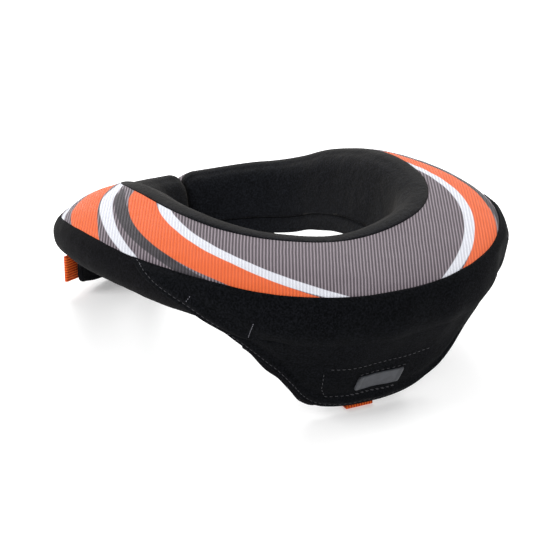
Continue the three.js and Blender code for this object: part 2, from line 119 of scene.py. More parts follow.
# The apron, and the tail's backing, which keeps TAIL_EDGE of its thickness at its edge
APRON_START = 119
APRON_THICKNESS = 0.0025
TAIL_START = 147
TAIL_TOP = 1.04
TAIL_TUCK = 0.032
TAIL_DROP = 0.0749
TAIL_RUN = TAIL_DROP - WALL_HEIGHT
TAIL_THICKNESS = 0.0075
TAIL_SLANT = 0.006
TAIL_ROUND = 0.0035
TAIL_EDGE = 0.5
TAIL_EDGE_INSET = 0.0006
HEM_MARGIN = 0.0055

# The closure flap. It loses FLAP_EDGE_INSET of its thickness on either side at its lower
# edge, and is smooth up to FLAP_CALM. The floor lies FLOOR_DROP below the collar's centre.
FLAP_THICKNESS = 0.003
FLAP_CORNER = 0.005
FLAP_EDGE_INSET = 0.4
FLAP_CALM = 0.002
FLOOR_DROP = 0.0312

# The label: its size and place, how far its corners draw in, and the shares of it between
# which its border rises, falls and rounds off; its heights are shares of its thickness
LABEL_WIDTH = 0.0268
LABEL_HEIGHT = 0.0086
LABEL_RISE = 0.0200
LABEL_SLANT = 0.18
LABEL_THICKNESS = 0.0011
LABEL_CORNER = 0.07
LABEL_RISES = (0.80, 0.87)
LABEL_FALLS = (0.95, 1.0)
LABEL_ROUNDS = (0.97, 1.0)
LABEL_STRETCH = (1.02, 0.93)
LABEL_GROUND = 0.55
LABEL_BORDER = 0.9
LABEL_SUNK = 0.3
LABEL_GRID = (41, 23)

# Webbing tabs, folded double
WEBBING_WIDTH = 0.016
WEBBING_THICKNESS = 0.0011
WEBBING_SLIT = 0.0004
WEBBING_RIB = 0.0016
WEBBING_RELIEF = 0.07
SELVEDGE_RUN = 0.0006
SELVEDGE_THIN = 0.3
TAPE_STEPS = 22
TAPE_FOLD_STEPS = 14
TAPE_ROWS = 81
FOLD_HEIGHT = 2 * WEBBING_THICKNESS + WEBBING_SLIT
PULL_TAB_TURN = -43
PULL_TAB_SPRING = 10
PULL_TAB_LIFT = 0.0092
PULL_TAB_LENGTH = 0.018
TAIL_TAB_LENGTH = 0.015
TAIL_TAB_PEEK = 0.0006
TAIL_TAB_SHIFT = 0.003

# Stitches, and the closer ones of the bar tacks
STITCH_PITCH = 0.003
STITCH_LENGTH = 0.0021
STITCH_RADIUS = 0.0002
STITCH_SIDES = 6
TACK_PITCH = 0.0012
TACK_LENGTH = 0.001
TACK_RADIUS = 0.00022
TACK_STEPS = 8
LINE_STEPS = 80

# The hem: its stitching's distance inside it, the groove that this pulls and the measures
# down between which it starts, the hem's rounding, and the facets of the stitching's path
HEM_STITCH = 0.0029
HEM_GROOVE = 0.0004
GROOVE_WIDTH = 0.0007
GROOVE_START = (0.1, 0.4)
HEM_ROUND = 0.0011
HEM_PATH_STEPS = 400
HEM_PATH_START = 1.5
HEM_PATH_TOP = 0.03

# The padded ridge along the hem: its height and distance inside it, its width and that of
# the dip beyond it, and the measures down between which they start
HEM_PUFF = 0.0006
PUFF_RUN = 0.0058
PUFF_WIDTH = 0.0022
DIP_WIDTH = 0.0032
PUFF_START = (0.1, 0.5)

# The apron's edges: their share of its thickness, and the run over which it fills out
HEM_EDGE = 0.35
SEAM_EDGE = 0.3
SEAM_RUN = 0.004
FRONT_EDGE = 0.45
FRONT_RUN = 0.012

# How far from the hem and from the seam the apron's draws reach their full height
CALM_HEM = 0.006
CALM_SEAM = 0.01

# The print: its ribs, how soft the stripes' edges are, how far out its middle line lies as a
# multiple of the rim's radius, and the share of it beside each seam that stays smooth
RIB_PITCH = 0.00172
RIB_WOBBLE = 0.0006
INK_EDGE = 0.0005
PRINT_REACH = 1.3
PANEL_CALM = 0.12

# The camera, fitted to the photograph
CAMERA_TARGET = Vector((0.0, -0.0125, 0.0325))
CAMERA_AZIMUTH = -28.9
CAMERA_ELEVATION = 24.9
CAMERA_ROLL = 2.2
CAMERA_DISTANCE = 0.986
CAMERA_LENS = 111.5
CAMERA_SHIFT = (-0.0118, 0.0118)


def columns(names, rows):
    """A table as a dict of named columns. The first column is the one it is read by."""
    return dict(zip(names.split(), np.array(rows, float).T))


# Round the collar: shares of SEAM_RISE, RIM_LIFT, ROLL_REACH, ROLL_DROP and WALL_BULGE
COLLAR = columns("turn seam lift reach drop bulge", [
    (0, 0.4, 0.52, 0.8, 0.76, 1),
    (28, 0.47, 0.78, 0.86, 0.8, 1),
    (42, 0.555, 0.917, 0.9, 0.86, 1),
    (55, 0.665, 1.065, 0.95, 0.93, 1),
    (68, 0.78, 1.03, 0.98, 0.97, 1),
    (80, 0.89, 0.93, 1, 1, 1),
    (98, 0.965, 0.86, 1, 1, 1),
    (123, 1, 0.73, 1, 0.97, 0.6),
    (140, 0.965, 0.67, 1, 0.93, 0.4),
    (155, 0.87, 0.75, 1, 0.89, 0.32),
    (180, 0.785, 0.73, 1, 0.87, 0.26),
])

# The neck roll: shares of its reach from the rim, of its drop, and of CREST_LIFT
ROLL = columns("step inward down up", [
    (0, 0.01, 0.012, 0),
    (1, 0.03, 0.0, 0.4),
    (2, 0.11, 0, 0.85),
    (3, 0.22, 0, 1),
    (4, 0.34, 0, 0.75),
    (5, 0.46, 0.015, 0),
    (6, 0.58, 0.06, 0),
    (7, 0.68, 0.135, 0),
    (8, 0.75, 0.23, 0),
    (9, 0.81, 0.38, 0),
    (10, 0.88, 0.6, 0),
    (11, 0.95, 0.82, 0),
    (12, 1, 0.97, 0),
    (13, 1.05, 0.995, 0),
])

# The outer wall: shares of WALL_HEIGHT, WALL_BULGE and WALL_UNDER
WALL = columns("step down out under", [
    (0, 0, 0, 0),
    (1, 0.03, 0.16, 0),
    (2, 0.11, 0.52, 0.01),
    (3, 0.26, 0.9, 0.02),
    (4, 0.43, 1, 0.04),
    (5, 0.6, 0.95, 0.1),
    (6, 0.75, 0.7, 0.24),
    (7, 0.88, 0.35, 0.5),
    (8, 1, 0, 1),
])

# What the apron lies on, from the seam (0) over the wall (1) to the tail's hem (2)
LIE = columns("down bulge tuck", [
    (0, 0.05, 0),
    (0.11, 0.58, 0),
    (0.26, 1, 0),
    (0.43, 1.08, 0.003),
    (0.6, 1, 0.015),
    (0.76, 0.75, 0.04),
    (0.89, 0.35, 0.08),
    (1, 0.1, 0.14),
    (1.17, 0, 0.29),
    (1.35, 0, 0.45),
    (1.6, 0, 0.62),
    (1.85, 0, 0.82),
    (2, 0, 1),
])

# The apron's hem, and how far the backing reaches past it, as a share of HEM_MARGIN
HEM = columns("turn down margin", [
    (119, 0.07, 0.4),
    (121.5, 0.16, 0.5),
    (127, 0.38, 0.6),
    (132, 0.55, 0.7),
    (136, 0.68, 0.8),
    (140, 0.86, 0.9),
    (145, 1.07, 1),
    (148, 1.18, 1),
    (152, 1.36, 1),
    (155, 1.48, 1),
    (158, 1.64, 1),
    (161, 1.81, 1),
    (165, 1.915, 0.8),
    (171, 1.95, 0.5),
    (180, 1.95, 0.5),
])

# The flap, from its near end to its far end: how far inside the outer seam it hangs, and how
# far its lower edge is off the floor
FLAP = columns("flap_turn inset rise", [
    (-50, 0.005, 0.0082),
    (-40, 0.0095, 0.0034),
    (-30, 0.015, 0.002),
    (-12, 0.018, 0.0005),
    (0, 0.019, 0),
    (18, 0.016, 0),
    (30, 0.011, 0),
])


def read(table, at, column):
    """One column of a table, on a smooth curve through its rows. A table read by turn lies
    flat at its ends, because the collar is symmetric there."""
    key = next(iter(table))
    keys, values = table[key], table[column]
    slopes = np.empty_like(values)
    slopes[1:-1] = (values[2:] - values[:-2]) / (keys[2:] - keys[:-2])
    is_turn = key.endswith("turn")
    slopes[0] = 0 if is_turn else (values[1] - values[0]) / (keys[1] - keys[0])
    slopes[-1] = 0 if is_turn else (values[-1] - values[-2]) / (keys[-1] - keys[-2])
    at = np.asarray(at, float)
    row = np.clip(np.searchsorted(keys, at, side="right") - 1, 0, len(keys) - 2)
    span = keys[row + 1] - keys[row]
    t = np.clip((at - keys[row]) / span, 0, 1)
    square, cube = t ** 2, t ** 3
    return (
        (2 * cube - 3 * square + 1) * values[row]
        + (cube - 2 * square + t) * slopes[row] * span
        + (3 * square - 2 * cube) * values[row + 1]
        + (cube - square) * slopes[row + 1] * span
    )


def smooth(low, high, at):
    t = np.clip((np.asarray(at, float) - low) / (high - low), 0, 1)
    return t * t * (3 - 2 * t)


def filled(edge, full, share):
    """From edge to full, as share goes from 0 to 1."""
    return edge + (full - edge) * share


def rounded(distance, radius):
    """0 on an edge to 1 that radius inside it, on a quarter circle."""
    return np.sqrt(1 - (1 - np.clip(distance / radius, 0, 1)) ** 2)


def ridge(distance, width):
    """A smooth ridge, 1 at no distance."""
    return np.exp(-(distance / width) ** 2)


def crowded(count, power):
    """Shares from 0 to 1, closer together towards 1."""
    return 1 - (1 - np.linspace(0, 1, count)) ** power


def fold(turns):
    positive = np.abs(turns) % 360
    return np.where(positive > 180, 360 - positive, positive)


def reach_of(plan, turns):
    along = np.cos(np.radians(turns))
    across = np.abs(np.sin(np.radians(turns)))

    def reach(length, power):
        return ((np.abs(along) / length) ** power + (across / plan.half) ** power) ** (-1 / power)

    front = reach(plan.front, plan.front_power)
    return np.where(along > 0, front, reach(plan.back, plan.back_power))


def pair(r, z):
    """Points of a section: distance out and height, as the last axis."""
    return np.stack(np.broadcast_arrays(r, z), axis=-1)


def sections(turns):
    """The main points of the collar's cross-section at each turn."""
    folded = fold(np.asarray(turns, float))
    seam_z = read(COLLAR, folded, "seam") * SEAM_RISE
    seam = pair(reach_of(SEAM_PLAN, folded), seam_z)
    rim = pair(reach_of(RIM_PLAN, folded), seam_z + read(COLLAR, folded, "lift") * RIM_LIFT)
    reach = read(COLLAR, folded, "reach") * ROLL_REACH
    drop = read(COLLAR, folded, "drop") * ROLL_DROP
    band = rim - pair(reach, drop)
    foot = band - [BAND_LEAN, BAND_HEIGHT]
    bulge = read(COLLAR, folded, "bulge") * WALL_BULGE
    return SimpleNamespace(
        turns=np.asarray(turns, float), folded=folded, seam=seam, rim=rim, reach=reach,
        drop=drop, band=band, foot=foot, bulge=bulge,
    )


def place(turns, points):
    """Section points (turns, steps, 2) as points of the frame (turns, steps, 3)."""
    angle = np.radians(np.asarray(turns, float))
    while angle.ndim < points.ndim - 1:
        angle = angle[..., None]
    r, z = points[..., 0], points[..., 1]
    level = np.stack([r * np.sin(angle), r * np.cos(angle), np.broadcast_to(z, r.shape)], axis=-1)
    return lean(level)


def lean(level):
    y = level[..., 1] * math.cos(LEAN) + level[..., 2] * math.sin(LEAN)
    z = level[..., 2] * math.cos(LEAN) - level[..., 1] * math.sin(LEAN)
    return np.stack([level[..., 0], y, z], axis=-1) + CENTRE


def between(first, last, shares):
    """Points from first (0) to last (1) in each section."""
    return first[:, None] + (last - first)[:, None] * shares[:, None]


def chord_point(section, share, depth):
    """A point of the seam-to-rim chord, that far below it."""
    along = section.rim - section.seam
    length = np.linalg.norm(along, axis=-1, keepdims=True)
    down = np.stack([along[:, 1], -along[:, 0]], axis=-1) / length
    down = np.where(down[:, 1:] > 0, -down, down)
    return between(section.seam, section.rim, share) + down[:, None] * depth[..., None]


def seam_tuck(share, width):
    """0 at both seams of the panel, 1 away from them."""
    return smooth(0, width, share) * smooth(0, width, 1 - share)


def crown_shares():
    """Shares of the panel from seam (0) to rim (1), closer together at both."""
    swing = np.cos(np.pi * np.linspace(0, 1, CROWN_STEPS))
    return 0.5 - 0.5 * swing * filled(1 - CROWDING, 1, np.abs(swing))


CROWN_SHARES = crown_shares()
UNDER_SHARES = np.linspace(1, 0, UNDER_STEPS)


def panel_width(section):
    return np.linalg.norm(section.rim - section.seam, axis=1)[:, None]


def panel_outline(section):
    fullness = filled(CROWN_OUTER, CROWN_INNER, CROWN_SHARES)
    height = PANEL_CROWN * np.minimum(panel_width(section) / CROWN_WIDTH, 1)
    rise = height * fullness * np.sin(np.pi * CROWN_SHARES) ** CROWN_POWER
    crown = chord_point(section, CROWN_SHARES, -rise)
    depth = filled(PANEL_SEAM_EDGE, PANEL_EDGE, seam_tuck(UNDER_SHARES, EDGE_TUCK))
    return np.concatenate([crown, chord_point(section, UNDER_SHARES, depth)], axis=1)


def roll_outline(section):
    steps = np.linspace(0, ROLL["step"][-1], ROLL_STEPS)
    inward, down, up = (read(ROLL, steps, name) for name in ("inward", "down", "up"))
    face = section.rim[:, None] - np.stack([
        section.reach[:, None] * inward,
        section.drop[:, None] * down - CREST_LIFT * up,
    ], axis=-1)
    back = between(section.band, section.rim, np.linspace(*ROLL_BACK, BACK_STEPS))
    return np.concatenate([face, back - [SEAT, 0]], axis=1)


# The band's hidden corners, from its foot and from the band seam, by distance out and up
BAND_FOOT = np.array([
    (0.3 * BAND_THICKNESS, -0.0003),
    (0.8 * BAND_THICKNESS, 0.0004),
    (BAND_THICKNESS, BAND_ROUND),
])
BAND_TOP = np.array([(BAND_THICKNESS, -BAND_ROUND), (0.7 * BAND_THICKNESS, -SEAT)])


def band_outline(section):
    share = np.linspace(0, 1, BAND_STEPS)
    puff = BAND_PUFF * np.sin(np.pi * share) ** BAND_PUFF_POWER
    face = between(section.band, section.foot, share) - pair(puff, SEAT / 2)
    lower = section.foot[:, None] + BAND_FOOT
    upper = section.band[:, None] + BAND_TOP
    return np.concatenate([face, lower, upper], axis=1)


def body_outline(section):
    steps = np.linspace(0, WALL["step"][-1], WALL_STEPS)
    down, out, under = (read(WALL, steps, name) for name in ("down", "out", "under"))
    wall = section.seam[:, None] + np.stack([
        section.bulge[:, None] * out - WALL_UNDER * under,
        np.broadcast_to(-WALL_HEIGHT * down, (len(section.turns), len(down))),
    ], axis=-1)
    inner = section.foot + [BAND_THICKNESS + SEAT, 0]
    share = np.linspace(0, 1, BELLY_STEPS)[1:-1]
    belly = between(wall[:, -1], inner, share) - pair(0, BELLY * np.sin(np.pi * share))
    back = between(section.band, section.rim, np.linspace(*BODY_BACK, BACK_STEPS)) + [SEAT, 0]
    under_share = np.linspace(*BODY_TOP, BODY_TOP_STEPS)
    depth = filled(BODY_SEAM_EDGE, PANEL_EDGE + SEAT, seam_tuck(under_share, EDGE_TUCK))
    top = chord_point(section, under_share, depth)
    behind_band = section.band + [BAND_THICKNESS + SEAT, 0]
    corners = np.stack([inner, behind_band], axis=1)
    return np.concatenate([wall, belly, corners, back, top[:, :-1]], axis=1)


# The turns at which the two arms end, each measured its own way round
FAR_END = math.degrees(math.asin((CLOSURE_GAP / 2 - CLOSURE_SHIFT) / RIM_PLAN.front))
NEAR_END = math.degrees(math.asin((CLOSURE_GAP / 2 + CLOSURE_SHIFT) / RIM_PLAN.front))


def collar_turns(count):
    """Stations round the collar, closer together on the arms' round ends."""
    quarter = np.linspace(0, np.pi / 2, END_STATIONS)
    end = math.degrees(END_ROUND / RIM_PLAN.front) * (1 - np.cos(quarter))
    middle = np.linspace(FAR_END + end[-1], 360 - NEAR_END - end[-1], count)
    return np.concatenate([FAR_END + end, middle[1:-1], 360 - NEAR_END - end[::-1]])


def collar_points(outline_of, count):
    """An outline carried round the collar, shrinking to a round end on each arm."""
    turns = collar_turns(count)
    section = sections(turns)
    outline = outline_of(section)
    from_end = np.radians(np.minimum(turns - FAR_END, 360 - NEAR_END - turns)) * RIM_PLAN.front
    size = 1 - (1 - END_SIZE) * (1 - rounded(from_end, END_ROUND))
    middle = pair(
        (section.seam[:, 0] + section.foot[:, 0]) / 2, (section.rim[:, 1] + section.foot[:, 1]) / 2,
    )
    outline = middle[:, None] + (outline - middle[:, None]) * size[:, None, None]
    return turns, place(turns, outline)


# Each ripple is a sum of this many waves, with lengths between these multiples of its own.
WAVES = 28
WAVE_SPREAD = (0.7, 1.6)

# The cloth's unevenness on each piece: how high and how long its ripples are, the seed that
# they are drawn from, and how the places are stretched along z before they are read
UNEVEN = {
    "collar_body": [(0.0003, 0.05, 3, 1.6), (0.00008, 0.012, 4, 1)],
    "print_panel": [(0.0003, 0.05, 11, 1), (0.0001, 0.012, 12, 1)],
    "neck_roll_padding": [(0.0003, 0.06, 21, 1), (0.00006, 0.012, 22, 1)],
    "neck_band_padding": [(0.0002, 0.03, 31, 1)],
    "apron_cloth": [(0.0004, 0.022, 41, 0.35), (0.0006, 0.05, 42, 1)],
    "tail_backing": [(0.0002, 0.014, 51, 1)],
    "flap_cloth": [(0.0002, 0.02, 61, 1)],
}


def ripple(points, wavelength, seed):
    """Smooth noise of about -1 to 1: a sum of waves in seeded directions."""
    source = np.random.default_rng(seed)
    directions = source.normal(size=(WAVES, 3))
    directions /= np.linalg.norm(directions, axis=1, keepdims=True)
    lengths = wavelength * source.uniform(*WAVE_SPREAD, WAVES)
    phases = source.uniform(0, 2 * np.pi, WAVES)
    total = np.zeros(points.shape[:-1])
    for direction, length, phase in zip(directions, lengths, phases):
        total += np.sin(points @ direction * (2 * np.pi / length) + phase)
    return total / math.sqrt(WAVES)


def uneven(name, points):
    """How far the cloth of a piece lies off its smooth shape at each point."""
    return sum(
        height * ripple(points * [1, 1, stretch], length, seed)
        for height, length, seed, stretch in UNEVEN[name]
    )


def add_object(name, data):
    obj = bpy.data.objects.new(name, data)
    bpy.context.scene.collection.objects.link(obj)
    return obj


def mesh_object(name, corners, faces):
    mesh = bpy.data.meshes.new(name)
    mesh.from_pydata([tuple(corner) for corner in corners], [], faces)
    mesh.validate()
    mesh.polygons.foreach_set("use_smooth", [True] * len(mesh.polygons))
    return add_object(name, mesh)


def loft(name, outlines):
    """A closed solid through closed outlines of equally many points, each end closed by a fan round
    its middle point.
    """
    rows, count = outlines.shape[:2]
    corners = outlines.reshape(-1, 3)
    index = np.arange(rows * count).reshape(rows, count)
    after = np.roll(index, -1, axis=1)
    quads = np.stack([index[:-1], after[:-1], after[1:], index[1:]], axis=-1).reshape(-1, 4)
    faces = [tuple(quad) for quad in quads.tolist()]
    first, last = len(corners), len(corners) + 1
    corners = np.concatenate([corners, outlines[:1].mean(axis=1), outlines[-1:].mean(axis=1)])
    for step in range(count):
        following = (step + 1) % count
        faces.append((first, int(index[0, following]), int(index[0, step])))
        faces.append((last, int(index[-1, step]), int(index[-1, following])))
    triangles = np.concatenate([quads[:, [0, 1, 2]], quads[:, [0, 2, 3]]])
    a, b, c = (corners[triangles[:, k]] for k in range(3))
    volume = np.einsum("ij,ij->", a, np.cross(b, c))
    return mesh_object(name, corners, [face[::-1] for face in faces] if volume < 0 else faces)


def sheet_solid(name, outer, inner):
    """A closed sheet between an outer and an inner grid of points."""
    return loft(name, np.concatenate([outer, inner[:, ::-1]], axis=1))


def vertex_values(obj, name):
    """Three numbers for each vertex: its place, co, or its normal."""
    values = np.empty(len(obj.data.vertices) * 3)
    obj.data.vertices.foreach_get(name, values)
    return values.reshape(-1, 3)


def push_uneven(obj, share=1):
    """Moves each vertex along its normal, by a share of its piece's unevenness."""
    places, normals = vertex_values(obj, "co"), vertex_values(obj, "normal")
    distances = share * uneven(obj.name, places)
    obj.data.vertices.foreach_set("co", (places + normals * distances[:, None]).ravel())
    obj.data.update()


def store(obj, name, values):
    attribute = obj.data.attributes.new(name, "FLOAT", "POINT")
    attribute.data.foreach_set("value", np.asarray(values, np.float32).ravel())


# The apron and what it lies on


def lie_point(section, down):
    """The surface that the apron lies on; down has one row for each turn."""
    bulge = read(LIE, down, "bulge") * section.bulge[:, None]
    tuck = read(LIE, down, "tuck") * TAIL_TUCK
    drop = np.minimum(down, 1) * WALL_HEIGHT + np.maximum(down - 1, 0) * TAIL_RUN
    return section.seam[:, None] + np.stack([bulge - tuck, -drop], axis=-1)


# The slope of that surface is read over this much of down to either side.
NEARBY = 0.02


def layer_point(section, down, distance):
    """A point that distance outside the surface the apron lies on."""
    before = lie_point(section, np.maximum(down - NEARBY, 0))
    after = lie_point(section, np.minimum(down + NEARBY, 2))
    along = after - before
    along /= np.linalg.norm(along, axis=-1, keepdims=True)
    side = np.stack([-along[..., 1], along[..., 0]], axis=-1)
    return lie_point(section, down) + side * np.broadcast_to(distance, down.shape)[..., None]


def floor_at(y):
    return y * math.tan(LEAN) - FLOOR_DROP


def height_on(first, last, r):
    """Height of the line from first to last at that distance out."""
    share = (first[:, :1] - r) / (first[:, :1] - last[:, :1])
    return first[:, 1:] + share * (last[:, 1:] - first[:, 1:])


def underside(section, r):
    """Height of the collar's underside at that distance out."""
    outer = section.seam - [WALL_UNDER, WALL_HEIGHT]
    inner = section.foot + [BAND_THICKNESS + SEAT, 0]
    middle = (outer + inner) / 2 - [0, BELLY]
    return np.where(r > middle[:, :1], height_on(outer, middle, r), height_on(middle, inner, r))


def down_run(down):
    """Length of cloth for one whole step of down."""
    return np.where(down < 1, WALL_HEIGHT, TAIL_RUN + TAIL_SLANT)


def apron_outside(turns, down, raised=0.0):
    """Points on the apron's outside, in the frame, with its rounded hem, the groove of the
    hem's stitching and the cloth's draws. down has one row for each turn."""
    section = sections(turns)
    hem = read(HEM, section.folded, "down")[:, None]
    to_hem = np.maximum((hem - down) * down_run(down), 0)
    from_front = np.radians(section.folded[:, None] - APRON_START) * SEAM_PLAN.half
    edge_round = filled(HEM_EDGE, 1, rounded(np.minimum(to_hem, from_front), HEM_ROUND))
    seam_round = filled(SEAM_EDGE, 1, smooth(0, SEAM_RUN, down * WALL_HEIGHT))
    front_round = filled(FRONT_EDGE, 1, smooth(0, FRONT_RUN, from_front))
    groove = ridge(to_hem - HEM_STITCH, GROOVE_WIDTH) * smooth(*GROOVE_START, down)
    thickness = APRON_THICKNESS * edge_round * seam_round * front_round - HEM_GROOVE * groove
    flat = place(turns, layer_point(section, down, SEAT / 2 + thickness))
    puff = ridge(to_hem - PUFF_RUN, PUFF_WIDTH) - ridge(to_hem - 2 * PUFF_RUN, DIP_WIDTH)
    draws = uneven("apron_cloth", flat) + HEM_PUFF * puff * smooth(*PUFF_START, down)
    calm = smooth(0, CALM_HEM, to_hem) * smooth(0, CALM_SEAM, down * WALL_HEIGHT) * front_round
    return place(turns, layer_point(section, down, SEAT / 2 + thickness + draws * calm + raised))


# Materials


def new_material(name):
    material = bpy.data.materials.new(name)
    material.use_nodes = True
    nodes, links = material.node_tree.nodes, material.node_tree.links
    shader = nodes["Principled BSDF"]
    return SimpleNamespace(material=material, nodes=nodes, links=links, shader=shader)


def connect(kit, made, inputs):
    """Links the inputs that are sockets, and sets the others."""
    for name, value in inputs.items():
        if isinstance(value, bpy.types.NodeSocket):
            kit.links.new(value, made.inputs[name])
        else:
            made.inputs[name].default_value = value


def shade(kit, inputs):
    connect(kit, kit.shader, inputs)
    return kit.material


def node(kit, kind, inputs, **settings):
    made = kit.nodes.new(kind)
    for name, value in settings.items():
        setattr(made, name, value)
    connect(kit, made, inputs)
    return made


def math_node(kit, operation, first, second=0.0, third=0.0, clamp=False):
    made = node(kit, "ShaderNodeMath", {0: first, 1: second, 2: third}, operation=operation)
    made.use_clamp = clamp
    return made.outputs[0]


def scaled(kit, value, factor, offset, clamp=False):
    return math_node(kit, "MULTIPLY_ADD", value, factor, offset, clamp)


def mix_colour(kit, factor, first, second, blend="MIX"):
    inputs = {0: factor, 6: first, 7: second}
    return node(kit, "ShaderNodeMix", inputs, data_type="RGBA", blend_type=blend).outputs[2]


def linear(*channels):
    """An sRGB colour of 0 to 255 as linear RGBA."""
    shares = [channel / 255 for channel in channels]
    return (*(v / 12.92 if v < 0.04045 else ((v + 0.055) / 1.055) ** 2.4 for v in shares), 1.0)


def places_of(kit):
    return node(kit, "ShaderNodeTexCoord", {}).outputs["Object"]


def noise(kit, scale, detail=2.0, roughness=0.5):
    inputs = {
        "Vector": places_of(kit), "Scale": scale, "Detail": detail, "Roughness": roughness,
    }
    return node(kit, "ShaderNodeTexNoise", inputs).outputs["Fac"]


def stored(kit, name):
    return node(kit, "ShaderNodeAttribute", {}, attribute_name=name).outputs["Fac"]


def ribs(kit, across, pitch):
    """A wave of that pitch across the cloth, from 0 to 1."""
    wave = math_node(kit, "SINE", math_node(kit, "MULTIPLY", across, 2 * math.pi / pitch))
    return scaled(kit, wave, 0.5, 0.5)


def ramp(kit, factor, stops):
    made = node(kit, "ShaderNodeValToRGB", {"Fac": factor})
    elements = made.color_ramp.elements
    while len(elements) < len(stops):
        elements.new(0.5)
    for element, (position, colour) in zip(elements, stops):
        element.position = position
        element.color = colour
    return made.outputs["Color"]


def greys(kit, factor, dark, light):
    return ramp(kit, factor, [(0.3, (dark, dark, dark, 1)), (0.7, (light, light, light, 1))])


def bump(kit, height, distance, strength, normal=None):
    inputs = {"Height": height, "Distance": distance, "Strength": strength}
    if normal is not None:
        inputs["Normal"] = normal
    return node(kit, "ShaderNodeBump", inputs).outputs["Normal"]


# The width of the nap's tufts
NAP_WIDTH = 0.00099


def black_fabric(name, dark, light, sheen, mottle=0.35):
    """Brushed stretch cloth: a fine nap with faint lighter flecks, over soft patches."""
    kit = new_material(name)
    nap = noise(kit, scale=1 / NAP_WIDTH, detail=4.0, roughness=0.62)
    patches = noise(kit, scale=110.0, detail=4.0, roughness=0.6)
    colour = ramp(kit, nap, [(0.4, dark), (0.75, light)])
    soft = bump(kit, patches, 0.0012, mottle)
    return shade(kit, {
        "Base Color": mix_colour(kit, 1.0, colour, greys(kit, patches, 0.86, 1.12), "MULTIPLY"),
        "Roughness": scaled(kit, nap, 0.12, 0.82),
        "Normal": bump(kit, nap, 0.0003, 0.7, soft),
        "Sheen Weight": sheen,
        "Sheen Roughness": 0.5,
        "Sheen Tint": linear(205, 198, 186),
        "Specular IOR Level": 0.04,
    })


# The ribs of the print cloth run parallel in plan; this is square to them
RIB_ACROSS = (0.883, -0.4676, 0.036)


def print_cloth():
    """Ribbed print cloth. The stripes come from distances stored on the mesh; each ink is painted
    darker in the ribs' grooves as painted shade and lighter on their crests as painted light.
    """
    kit = new_material("print_cloth")
    across = node(
        kit, "ShaderNodeVectorMath", {0: places_of(kit), 1: RIB_ACROSS}, operation="DOT_PRODUCT",
    ).outputs["Value"]
    wobbling = scaled(kit, noise(kit, scale=60.0), RIB_WOBBLE, across)
    rib = ribs(kit, wobbling, RIB_PITCH)
    grain = noise(kit, scale=2600.0)
    # Each ink is a ramp over the rib wave: painted shade in the grooves, painted light on the
    # crests
    ground = ramp(kit, rib, [
        (0.15, linear(54, 47, 53)), (0.5, linear(86, 77, 83)), (0.85, linear(124, 114, 121)),
    ])
    deep = ramp(kit, rib, [(0.1, linear(27, 24, 28)), (0.9, linear(58, 53, 59))])
    orange = ramp(kit, rib, [(0.1, linear(186, 74, 30)), (0.6, linear(206, 91, 41))])
    white = ramp(kit, rib, [(0.1, linear(180, 181, 189)), (0.6, linear(198, 200, 207))])
    colour = ground
    for attribute, ink in (("deep", deep), ("white", white), ("orange", orange)):
        mask = scaled(kit, stored(kit, attribute), 1 / INK_EDGE, 0.5, clamp=True)
        colour = mix_colour(kit, mask, colour, ink)
    return shade(kit, {
        "Base Color": mix_colour(kit, 1.0, colour, greys(kit, grain, 0.88, 1.06), "MULTIPLY"),
        "Roughness": scaled(kit, grain, 0.15, 0.5),
        "Normal": bump(kit, grain, 0.0001, 0.5, bump(kit, rib, 0.0005, 0.8)),
        "Sheen Weight": 0.03,
        "Specular IOR Level": 0.14,
    })


def webbing():
    """Close-ribbed woven tape, painted darker in its grooves as painted shade."""
    kit = new_material("webbing")
    rib = ribs(kit, stored(kit, "across"), WEBBING_RIB)
    grain = noise(kit, scale=3000.0)
    mixed = scaled(kit, grain, 0.4, math_node(kit, "MULTIPLY", rib, 0.6))
    # Painted shade: the colour darkens where the rib wave is low, in the grooves
    colour = ramp(kit, mixed, [
        (0.2, linear(150, 34, 4)), (0.5, linear(210, 78, 16)), (0.8, linear(224, 106, 36)),
    ])
    return shade(kit, {
        "Base Color": colour,
        "Roughness": scaled(kit, grain, 0.2, 0.55),
        "Normal": bump(kit, mixed, 0.0003, 0.8),
        "Sheen Weight": 0.04,
        "Specular IOR Level": 0.15,
    })


def rubber():
    kit = new_material("label_rubber")
    grain = noise(kit, scale=2400.0, detail=3.0, roughness=0.6)
    scuff = noise(kit, scale=260.0, detail=3.0, roughness=0.6)
    return shade(kit, {
        "Base Color": ramp(kit, scuff, [(0.3, linear(38, 40, 45)), (0.75, linear(56, 58, 64))]),
        "Roughness": scaled(kit, grain, 0.2, 0.42),
        "Normal": bump(kit, grain, 0.00006, 0.6),
    })


def thread(name, dark, light):
    kit = new_material(name)
    twist = noise(kit, scale=5200.0, detail=1.0)
    return shade(kit, {
        "Base Color": ramp(kit, twist, [(0.3, dark), (0.7, light)]),
        "Roughness": 0.6,
        "Normal": bump(kit, twist, 0.0001, 0.6),
    })


def floor_paint():
    kit = new_material("floor")
    return shade(kit, {
        "Base Color": greys(kit, noise(kit, scale=1.2), 0.8, 0.82),
        "Roughness": 0.8,
        "Specular IOR Level": 0.1,
        "Emission Color": (1, 1, 1, 1),
        "Emission Strength": 0.3,
    })


BODY_CLOTH = black_fabric("body_cloth", linear(4, 4, 5), linear(23, 23, 27), sheen=0.01)
APRON_CLOTH = black_fabric("apron_cloth", linear(2, 3, 4), linear(21, 22, 26), sheen=0.005)
LINING = black_fabric("lining", linear(7, 8, 11), linear(29, 31, 36), sheen=0.08, mottle=0.8)
THREAD = thread("thread", linear(26, 26, 29), linear(48, 48, 53))
TACK_THREAD = thread("tack_thread", linear(66, 66, 72), linear(108, 108, 116))
WEBBING = webbing()


def finish_piece(obj, material, node_name):
    obj.data.materials.append(material)
    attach(obj, "root")
    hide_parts(node_name)
    return obj


# The collar's pieces


def collar_piece(name, outline_of, material, node_name):
    _, points = collar_points(outline_of, COLLAR_STATIONS)
    obj = loft(name, points)
    push_uneven(obj)
    return finish_piece(obj, material, node_name)


